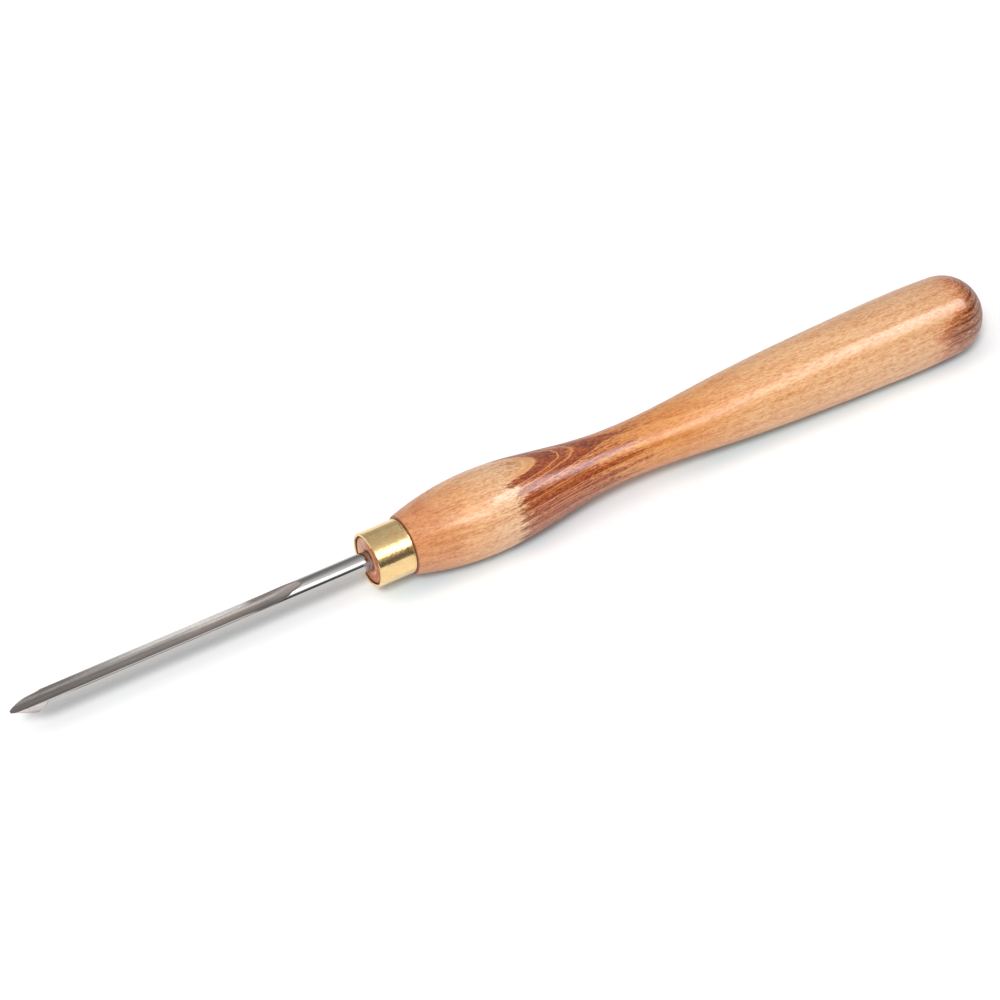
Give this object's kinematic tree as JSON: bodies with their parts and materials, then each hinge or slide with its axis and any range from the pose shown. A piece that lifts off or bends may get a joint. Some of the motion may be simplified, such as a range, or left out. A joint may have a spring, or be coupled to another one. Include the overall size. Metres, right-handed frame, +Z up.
{
  "type": "detail gouge",
  "caption": "Woodturning detail gouge: round steel bar with a shallow flute and swept-back fingernail tip, brass ferrule, long turned beech handle.",
  "frame": {"origin": "on the surface the tool lies on, under the middle of its length", "axes": "+X along the tool from the nose of the blade to the butt, +Z up out of the open flute"},
  "size_m": [0.438, 0.0346, 0.0346],
  "materials": {
    "blade": "bright ground bar, satin ground flute",
    "ferrule": "polished",
    "handle": "lacquered beech, scorched brown at the waist and the butt"
  },
  "bodies": {
    "root": {"blade": "blade", "ferrule": "ferrule", "handle": "handle"}
  },
  "joints": []
}
